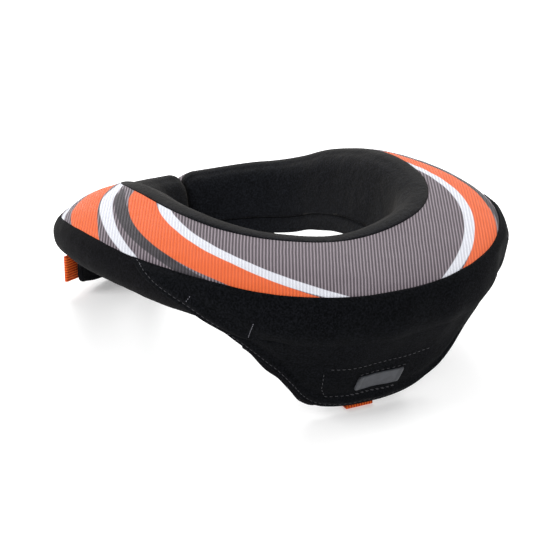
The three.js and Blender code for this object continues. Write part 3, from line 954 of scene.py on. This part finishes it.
# The print's stripes: for each, by turn, its middle as a share from seam (0) to rim (1) and
# half its width in metres. A half width below nothing ends the stripe in a point.
STRIPES = [
    ("orange", [
        (84, 1.22, 0.0070), (96, 0.98, 0.0080), (108, 0.74, 0.0086), (122, 0.5, 0.0084),
        (136, 0.29, 0.0078), (150, 0.1, 0.0066), (162, -0.08, 0.0046), (170, -0.2, 0.0026),
    ]),
    ("white", [
        (100, 1.28, 0.0030), (112, 1.0, 0.0034), (124, 0.76, 0.0038), (138, 0.52, 0.0038),
        (151, 0.3, 0.0034), (163, 0.08, 0.0026), (171, -0.08, 0.0016), (176, -0.2, 0.0008),
    ]),
    ("deep", [
        (70, 1.02, -0.0010), (82, 0.86, 0.0020), (96, 0.62, 0.0034), (112, 0.36, 0.0036),
        (126, 0.16, 0.0030), (138, -0.02, 0.0022), (146, -0.12, 0.0012), (150, -0.2, 0.0006),
    ]),
    ("orange", [
        (34, 1.1, 0.0040), (46, 0.92, 0.0060), (58, 0.72, 0.0080), (70, 0.5, 0.0094),
        (82, 0.28, 0.0090), (94, 0.06, 0.0070), (104, -0.12, 0.0040), (112, -0.25, 0.0020),
    ]),
    ("white", [
        (46, 1.32, 0.0030), (58, 1.12, 0.0034), (70, 0.9, 0.0038), (82, 0.66, 0.0040),
        (94, 0.42, 0.0038), (106, 0.2, 0.0030), (118, 0.0, 0.0020), (126, -0.12, 0.0012),
    ]),
    ("white", [
        (20, 0.86, 0.0016), (32, 0.66, 0.0024), (44, 0.46, 0.0030), (56, 0.26, 0.0030),
        (68, 0.06, 0.0024), (80, -0.14, 0.0016), (90, -0.3, 0.0010), (94, -0.4, 0.0008),
    ]),
]


def stripe_inside(rows, folded, share, width):
    """How far inside the stripe each point of the panel is, below nothing outside it."""
    stripe = columns("turn share half", rows)
    low, high = stripe["turn"][0], stripe["turn"][-1]
    middle = read(stripe, folded, "share")
    slope = (read(stripe, folded + 0.5, "share") - read(stripe, folded - 0.5, "share")) * width
    run = math.radians(1) * reach_of(RIM_PLAN, folded) * PRINT_REACH
    lean_factor = np.sqrt(1 + (slope / run) ** 2)
    away = np.abs(share - middle) * width / lean_factor
    inside = read(stripe, folded, "half") - away
    past = np.maximum(low - folded, folded - high) * run
    return np.minimum(inside, -past)


def make_panel():
    turns, points = collar_points(panel_outline, PANEL_STATIONS)
    obj = loft("print_panel", points)
    section = sections(turns)
    shares = np.concatenate([CROWN_SHARES, UNDER_SHARES])
    share = np.repeat(shares[None], len(turns), axis=0)
    folded = np.repeat(section.folded[:, None], len(shares), axis=1)
    width = panel_width(section)
    ends = np.zeros(2)
    for name in ("orange", "white", "deep"):
        inside = np.full(folded.shape, -1.0)
        for ink, rows in STRIPES:
            if ink == name:
                inside = np.maximum(inside, stripe_inside(rows, folded, share, width))
        store(obj, name, np.concatenate([inside.ravel(), ends - 1]))
    push_uneven(obj, np.concatenate([seam_tuck(share, PANEL_CALM).ravel(), ends]))
    return finish_piece(obj, print_cloth(), "top_panel")


def make_apron():
    stations, rows, crowd = APRON_GRID
    turns = np.linspace(APRON_START, 360 - APRON_START, stations)
    section = sections(turns)
    hem = read(HEM, section.folded, "down")[:, None]
    down = hem * crowded(rows, crowd)[None]
    outer = apron_outside(turns, down)
    inner = place(turns, layer_point(section, down, np.full(down.shape, SEAT / 2)))
    obj = sheet_solid("apron_cloth", outer, inner)
    return finish_piece(obj, APRON_CLOTH, "back_apron")


def make_tail():
    stations, rows, crowd = TAIL_GRID
    turns = np.linspace(TAIL_START, 360 - TAIL_START, stations)
    section = sections(turns)
    hem = read(HEM, section.folded, "down")
    margin = read(HEM, section.folded, "margin") * HEM_MARGIN
    end = np.minimum(hem + margin / TAIL_RUN, 2)[:, None]
    down = TAIL_TOP + (end - TAIL_TOP) * crowded(rows, crowd)[None]
    to_end = (end - down) * TAIL_RUN
    round_edge = rounded(to_end, TAIL_ROUND)
    outer_depth = -SEAT / 2 - TAIL_EDGE_INSET * (1 - round_edge)
    inner_depth = -SEAT / 2 - TAIL_THICKNESS * filled(TAIL_EDGE, 1, round_edge)
    layers = []
    for depth in (outer_depth, inner_depth):
        points = layer_point(section, down, depth)
        ceiling = underside(section, points[..., 0]) - 2 * SEAT
        points[..., 1] = np.minimum(points[..., 1], ceiling)
        layers.append(place(turns, points))
    obj = sheet_solid("tail_backing", *layers)
    push_uneven(obj)
    return finish_piece(obj, BODY_CLOTH, "tail_pad")


def flap_radius(turns):
    return sections(turns).seam[:, 0] - read(FLAP, turns, "inset")


def make_flap():
    stations, rows, crowd = FLAP_GRID
    near, far = FLAP["flap_turn"][[0, -1]]
    turns = np.linspace(near, far, stations)
    section = sections(turns)
    r = flap_radius(turns)
    top = underside(section, np.stack([r, r - FLAP_THICKNESS], axis=1)).min(axis=1) - SEAT
    from_end = np.radians(np.minimum(turns - near, far - turns)) * r
    lift = FLAP_CORNER * (1 - rounded(from_end, FLAP_CORNER))
    rise = np.maximum(read(FLAP, turns, "rise"), 0)
    bottom = floor_at(r * np.cos(np.radians(turns))) + rise + lift
    heights = top[:, None] + (bottom - top)[:, None] * crowded(rows, crowd)[None]
    to_edge = heights - bottom[:, None]
    inset = FLAP_EDGE_INSET * (1 - rounded(to_edge, HEM_ROUND))
    groove = HEM_GROOVE * ridge(to_edge - HEM_STITCH, GROOVE_WIDTH)
    outer = r[:, None] - FLAP_THICKNESS * inset - groove
    inner = r[:, None] - FLAP_THICKNESS * (1 - inset) + groove
    faces = [place(turns, pair(face, heights)) for face in (outer, inner)]
    obj = sheet_solid("flap_cloth", *faces)
    push_uneven(obj, vertex_values(obj, "co")[:, 2] > FLAP_CALM)
    return finish_piece(obj, BODY_CLOTH, "closure_flap")


def webbing_outline(length):
    """The U of folded webbing: its fold at the bottom, both ends up."""
    outer = WEBBING_THICKNESS + WEBBING_SLIT / 2
    inner = WEBBING_SLIT / 2
    rise = np.linspace(length, outer, TAPE_STEPS)
    turn = np.linspace(np.pi, 2 * np.pi, TAPE_FOLD_STEPS)[1:-1]
    left = np.stack([np.full_like(rise, -outer), rise], axis=1)
    under = np.stack([outer * np.cos(turn), outer + outer * np.sin(turn)], axis=1)
    right = left[::-1] * [-1, 1]
    inner_right = np.stack([np.full_like(rise, inner), rise], axis=1)
    inside = np.stack([inner * np.cos(turn[::-1]), outer + inner * np.sin(turn[::-1])], axis=1)
    inner_left = inner_right[::-1] * [-1, 1]
    return np.concatenate([left, under, right, inner_right, inside, inner_left])


def webbing_solid(name, length, origin, across, up, out):
    """Folded webbing at origin: across is along its width, up along its layers."""
    outline = webbing_outline(length)
    shares = np.linspace(-0.5, 0.5, TAPE_ROWS)
    rows = []
    for share in shares:
        edge = rounded((0.5 - abs(share)) * WEBBING_WIDTH, SELVEDGE_RUN)
        rib = WEBBING_RELIEF * (1 - math.sin(2 * math.pi * share * WEBBING_WIDTH / WEBBING_RIB))
        thin = 1 - rib - SELVEDGE_THIN * (1 - edge)
        section = outline.copy()
        middle = np.sign(section[:, :1]) * (WEBBING_THICKNESS + WEBBING_SLIT) / 2
        section[:, :1] = middle + (section[:, :1] - middle) * thin
        rows.append(
            origin + across * share * WEBBING_WIDTH + out * section[:, :1] + up * section[:, 1:]
        )
    obj = loft(name, np.array(rows))
    run = np.repeat(shares, len(outline))
    store(obj, "across", WEBBING_WIDTH * np.concatenate([run, shares[[0, -1]]]))
    return obj


def turned_level(vector, turn):
    """A level vector turned clockwise, seen from above."""
    angle = math.radians(turn)
    cosine, sine = math.cos(angle), math.sin(angle)
    x, y, z = vector
    return np.array([x * cosine + y * sine, y * cosine - x * sine, z])


def lean_vector(vector):
    return lean(np.array(vector, float)) - CENTRE


def make_pull_tab():
    """Folded webbing on edge, sewn to the flap's outside and springing off past its end."""
    turns = np.array([PULL_TAB_TURN, PULL_TAB_TURN - 1], float)
    r, angles = flap_radius(turns), np.radians(turns)
    sewn, following = np.stack([r * np.sin(angles), r * np.cos(angles), 0 * r], axis=1)
    along = (following - sewn) / np.linalg.norm(following - sewn)
    out = turned_level(along, 90)
    tab_along, tab_out = turned_level(along, PULL_TAB_SPRING), turned_level(out, PULL_TAB_SPRING)
    tip = sewn + out * (FOLD_HEIGHT / 2 + SEAT) + tab_along * PULL_TAB_LENGTH
    tip[2] = floor_at(tip[1]) + PULL_TAB_LIFT + WEBBING_WIDTH / 2
    obj = webbing_solid(
        "pull_tab_webbing", PULL_TAB_LENGTH, lean(tip),
        lean_vector([0, 0, 1]), lean_vector(-tab_along), lean_vector(tab_out),
    )
    return finish_piece(obj, WEBBING, "pull_tab")


def make_tail_tab():
    foot = -(SEAM_PLAN.back - TAIL_TUCK + TAIL_TAB_PEEK)
    origin = lean(np.array([-TAIL_TAB_SHIFT, foot, floor_at(foot)])) + [0, 0, FOLD_HEIGHT / 2]
    obj = webbing_solid("tail_tab_webbing", TAIL_TAB_LENGTH, origin, *np.eye(3))
    return finish_piece(obj, WEBBING, "tail_tab")


# The label, and stitching on the apron

# Distances across the tail are measured on a circle of this radius.
TAIL_RADIUS = SEAM_PLAN.back - 0.7 * TAIL_TUCK


def tail_spot(across, rise, raised=0.0):
    """A point on the tail's outside, by distance across it and up from its lowest line."""
    across, rise = np.asarray(across, float), np.asarray(rise, float)
    down = 2 - rise / TAIL_RUN
    turns = 180 - np.degrees(across / TAIL_RADIUS)
    raised = np.broadcast_to(raised, across.shape).reshape(-1, 1)
    points = apron_outside(turns.ravel(), down.reshape(-1, 1), raised)[:, 0]
    return points.reshape(across.shape + (3,))


def make_label():
    a, b = np.meshgrid(*(np.linspace(-1, 1, count) for count in LABEL_GRID), indexing="ij")
    edge = np.maximum(np.abs(a), np.abs(b))
    pull = 1 - LABEL_CORNER * np.minimum(np.abs(a) ** 12, 1) * np.abs(b) ** 6
    across = a * LABEL_WIDTH / 2 * pull + b * LABEL_HEIGHT / 2 * LABEL_SLANT
    rise = LABEL_RISE + b * LABEL_HEIGHT / 2
    stretch_a, stretch_b = LABEL_STRETCH
    towards_border = np.maximum(np.abs(a) * stretch_a, np.abs(b) * stretch_b)
    border = smooth(*LABEL_RISES, towards_border) * (1 - smooth(*LABEL_FALLS, edge))
    height = LABEL_THICKNESS * filled(LABEL_GROUND, LABEL_BORDER, border)
    height = height * (1 - 0.5 * smooth(*LABEL_ROUNDS, edge))
    outer = tail_spot(across, rise, SEAT + height)
    inner = tail_spot(across, rise, np.full(height.shape, SEAT * LABEL_SUNK))
    obj = sheet_solid("label_rubber", outer, inner)
    return finish_piece(obj, rubber(), "label_patch")


def read_path(run, values, distances):
    """Values of three columns, read at those distances along a path."""
    return np.stack([np.interp(distances, run, values[:, k]) for k in range(3)], axis=1)


def stitch_run(path, normals, pitch=STITCH_PITCH, length=STITCH_LENGTH):
    """Places, directions and normals of the stitches along a path."""
    steps = np.linalg.norm(np.diff(path, axis=0), axis=1)
    run = np.concatenate([[0], np.cumsum(steps)])
    count = max(int(run[-1] / pitch), 1)
    middles = (np.arange(count) + 0.5) * run[-1] / count
    starts = read_path(run, path, middles - length / 2)
    ends = read_path(run, path, middles + length / 2)
    return starts, ends, read_path(run, normals, middles)


# Along a stitch: share of its length, size as a share of its radius, and rise in radii
STITCH_PROFILE = [
    (0.0, 0.25, -0.9),
    (0.14, 0.85, 0.0),
    (0.5, 1.0, 0.45),
    (0.86, 0.85, 0.0),
    (1.0, 0.25, -0.9),
]


def stitching(name, runs, radius=STITCH_RADIUS, material=THREAD):
    """One mesh of short round stitches, a little arched over the cloth."""
    ring = np.linspace(0, 2 * np.pi, STITCH_SIDES + 1)[:-1]
    corners, faces = [], []
    for starts, ends, ups in runs:
        for start, end, up in zip(starts, ends, ups):
            along = end - start
            side = np.cross(along / np.linalg.norm(along), up)
            base = len(corners)
            for share, size, rise in STITCH_PROFILE:
                centre = start + along * share + up * radius * rise
                for angle in ring:
                    spoke = side * math.cos(angle) + up * math.sin(angle)
                    corners.append(centre + radius * size * spoke)
            for row in range(len(STITCH_PROFILE) - 1):
                for step in range(STITCH_SIDES):
                    a = base + row * STITCH_SIDES + step
                    b = base + row * STITCH_SIDES + (step + 1) % STITCH_SIDES
                    faces.append((a, b, b + STITCH_SIDES, a + STITCH_SIDES))
            last = base + (len(STITCH_PROFILE) - 1) * STITCH_SIDES
            faces.append(tuple(base + step for step in reversed(range(STITCH_SIDES))))
            faces.append(tuple(last + step for step in range(STITCH_SIDES)))
    obj = mesh_object(name, np.array(corners), faces)
    obj.data.materials.append(material)
    return obj


# Normals are found from a second path, this far outside the first.
LIFT = 0.001


def with_normals(path, lifted):
    """A path and the unit vectors from it to the same path a little further out."""
    normals = lifted - path
    return path, normals / np.linalg.norm(normals, axis=1, keepdims=True)


def apron_path(turns, down):
    """A path on the apron, by turn and by the measure down, with its outward normals."""
    turns, down = np.asarray(turns, float), np.asarray(down, float)[:, None]
    return with_normals(apron_outside(turns, down)[:, 0], apron_outside(turns, down, LIFT)[:, 0])


def hem_path():
    start = APRON_START + HEM_PATH_START
    turns = np.linspace(start, 360 - start, HEM_PATH_STEPS)
    hem = read(HEM, fold(turns), "down")
    slope = np.gradient(hem * down_run(hem)) / (np.radians(np.gradient(turns)) * SEAM_PLAN.back)
    down = hem - HEM_STITCH * np.sqrt(1 + slope ** 2) / down_run(hem)
    return apron_path(turns, np.maximum(down, HEM_PATH_TOP))


def tail_path(*corners):
    """A path on the tail through corners given by distance across and rise."""
    corners = np.array(corners, float)
    run = np.concatenate([[0], np.cumsum(np.linalg.norm(np.diff(corners, axis=0), axis=1))])
    fine = np.linspace(0, run[-1], LINE_STEPS)
    across, rise = (np.interp(fine, run, corners[:, k]) for k in range(2))
    return with_normals(tail_spot(across, rise), tail_spot(across, rise, LIFT))


# Bar tacks through the apron, each from one (turn, down) to another; both sides have them
BAR_TACKS = [
    ((122.7, 0.05), (122.4, 0.11)),
    ((136.8, 0.34), (135.8, 0.47)),
    ((150.0, 0.59), (148.8, 0.93)),
]

# The pocket's stitch lines round the label, by distance across the tail and rise
POCKET_LINES = [
    [(-0.029, 0.0315), (0.028, 0.0315)],
    [(-0.0315, 0.0285), (-0.0315, 0.0175), (-0.029, 0.0115), (0.013, 0.0115)],
    [(-0.0125, 0.0253), (0.0155, 0.0253)],
    [(-0.0155, 0.0120), (0.0125, 0.0120)],
]


def make_stitching():
    hem = stitching("hem_stitches", [stitch_run(*hem_path())])
    pocket = stitching("pocket_stitches", [stitch_run(*tail_path(*line)) for line in POCKET_LINES])
    tacks = []
    for (turn, down), (end_turn, end_down) in BAR_TACKS:
        for side in (1, -1):
            turns = 180 + side * (180 - np.linspace(turn, end_turn, TACK_STEPS))
            path = apron_path(turns, np.linspace(down, end_down, TACK_STEPS))
            tacks.append(stitch_run(*path, pitch=TACK_PITCH, length=TACK_LENGTH))
    bars = stitching("bar_tacks", tacks, radius=TACK_RADIUS, material=TACK_THREAD)
    for obj in (hem, pocket, bars):
        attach(obj, "root")
    return [hem, pocket, bars]


body = collar_piece("collar_body", body_outline, BODY_CLOTH, "body_roll")
panel = make_panel()
roll = collar_piece("neck_roll_padding", roll_outline, LINING, "neck_roll")
band = collar_piece("neck_band_padding", band_outline, LINING, "neck_band")
apron = make_apron()
tail = make_tail()
flap = make_flap()
pull_tab = make_pull_tab()
tail_tab = make_tail_tab()
label = make_label()
stitches = make_stitching()


# Floor, light and camera

FLOOR_REACH = 20.0
WORLD_STRENGTH = 0.75
LIGHT_TARGET = (0, 0, 0.05)

# The softboxes: where each one is, its diameter and its power
SOFTBOXES = [
    ("back_softbox", (0.25, 0.9, 1.0), 0.9, 16),
    ("left_softbox", (-1.1, 0.1, 0.8), 0.7, 9),
    ("right_softbox", (1.1, 0.2, 0.9), 0.7, 9),
    ("front_fill", (-0.4, -1.2, 0.9), 0.9, 4),
]


def make_floor():
    signs = [(-1, -1), (1, -1), (1, 1), (-1, 1)]
    corners = [(x * FLOOR_REACH, y * FLOOR_REACH, 0) for x, y in signs]
    obj = mesh_object("floor", np.array(corners), [(0, 1, 2, 3)])
    obj.data.materials.append(floor_paint())


def area_light(name, place_at, size, power):
    data = bpy.data.lights.new(name, "AREA")
    data.shape = "DISK"
    data.size = size
    data.energy = power
    obj = add_object(name, data)
    obj.location = place_at
    obj.rotation_mode = "QUATERNION"
    obj.rotation_quaternion = (Vector(LIGHT_TARGET) - Vector(place_at)).to_track_quat("-Z", "Y")


def make_light():
    world = bpy.data.worlds.new("studio")
    world.use_nodes = True
    bpy.context.scene.world = world
    background = world.node_tree.nodes["Background"]
    background.inputs["Color"].default_value = (1, 1, 1, 1)
    background.inputs["Strength"].default_value = WORLD_STRENGTH
    for softbox in SOFTBOXES:
        area_light(*softbox)


def make_camera():
    data = bpy.data.cameras.new("camera")
    data.lens = CAMERA_LENS
    data.sensor_width = 36
    data.shift_x, data.shift_y = CAMERA_SHIFT
    data.clip_start, data.clip_end = 0.01, 60
    obj = add_object("camera", data)
    azimuth, elevation = math.radians(CAMERA_AZIMUTH), math.radians(CAMERA_ELEVATION)
    back = Vector((
        math.sin(azimuth) * math.cos(elevation),
        -math.cos(azimuth) * math.cos(elevation),
        math.sin(elevation),
    ))
    right = Vector((math.cos(azimuth), math.sin(azimuth), 0))
    up = back.cross(right)
    axes = Matrix((right, up, back)).transposed()
    roll_turn = Matrix.Rotation(math.radians(CAMERA_ROLL), 3, "Z")
    obj.matrix_world = (
        Matrix.Translation(CAMERA_TARGET + back * CAMERA_DISTANCE) @ (axes @ roll_turn).to_4x4()
    )
    bpy.context.scene.camera = obj


make_floor()
make_light()
make_camera()
bpy.context.scene.view_settings.view_transform = "Standard"
